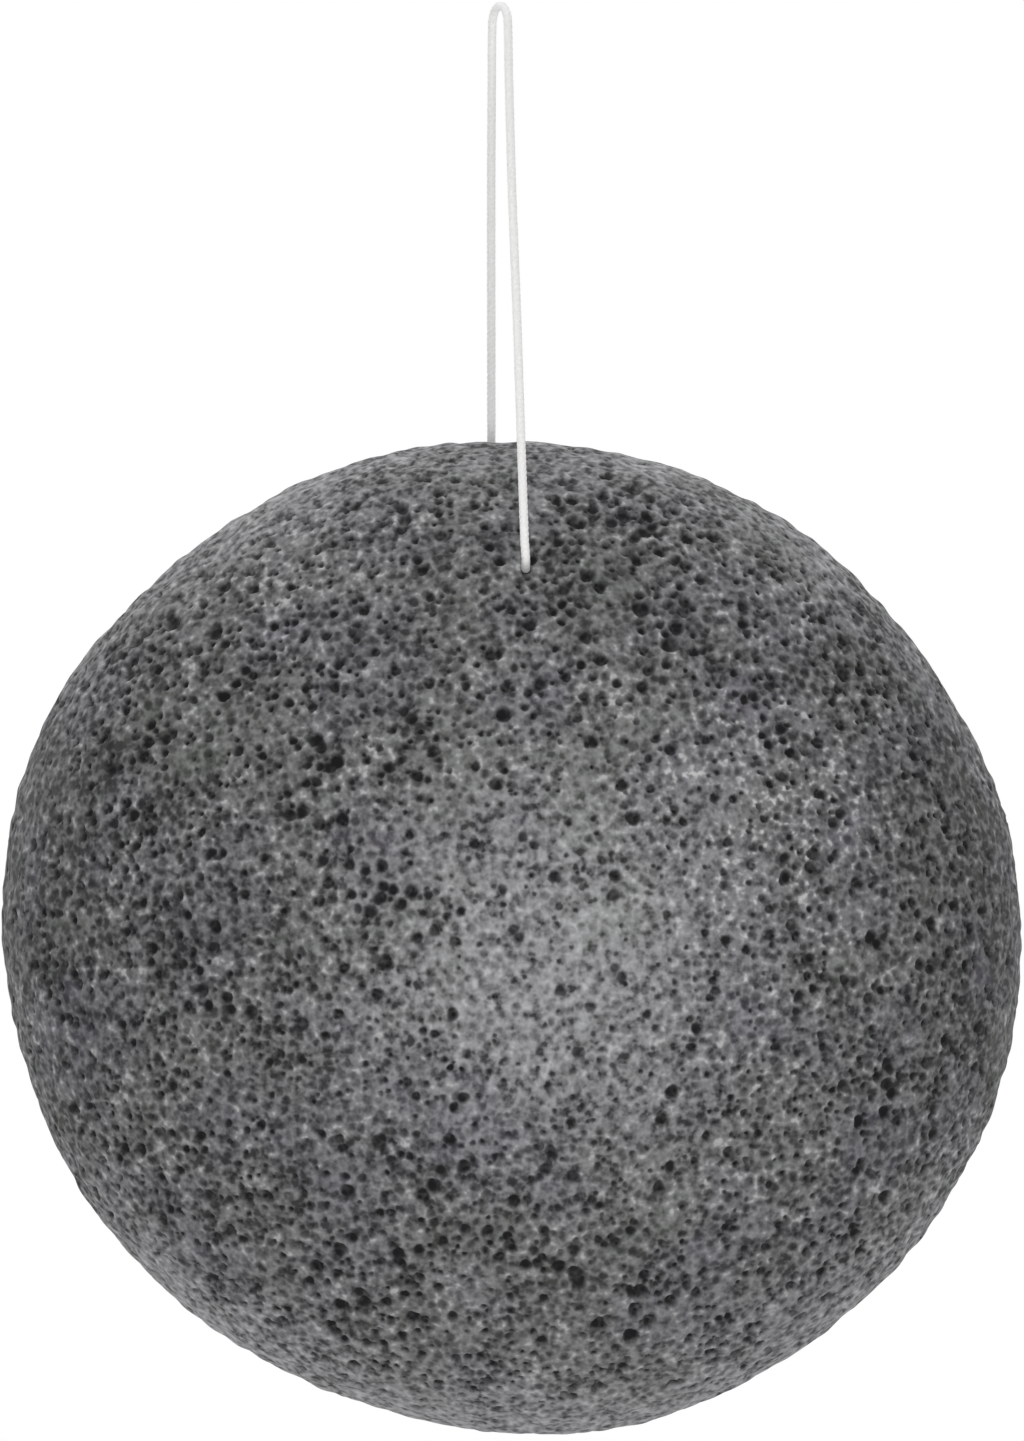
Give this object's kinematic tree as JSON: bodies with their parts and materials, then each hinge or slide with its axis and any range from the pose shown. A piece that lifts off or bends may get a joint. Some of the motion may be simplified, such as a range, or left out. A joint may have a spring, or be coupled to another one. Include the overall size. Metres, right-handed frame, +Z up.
{
  "type": "konjac sponge",
  "caption": "Half-ball konjac facial sponge of charcoal-grey porous foam, domed in front and flat behind, hanging on a knotted loop of thin white cotton cord.",
  "frame": {"origin": "inside top of the cord loop, where a thin hook carries it", "axes": "+Z up along the pull of the hook, +X to the right seen from the dome's side, +Y from the dome towards the flat back; the foam hangs at rest"},
  "size_m": [0.0794, 0.0377, 0.1134],
  "materials": {
    "konjac_foam": "matt open-pored foam, charcoal grey",
    "cotton_cord": "matt twisted cotton, white"
  },
  "bodies": {
    "cord": {"cord_in_foam": "cotton_cord", "hanging_loop": "cotton_cord", "upper_cord_end": "cotton_cord", "lower_cord_end": "cotton_cord"},
    "sponge": {"sponge_body": "konjac_foam"}
  },
  "joints": [
    {"name": "sponge_swing", "type": "hinge", "parent": "cord", "child": "sponge", "pos_m": [0.002, 0, -0.0438], "axis": [0, 1, 0], "range_deg": [-20, 20]}
  ]
}
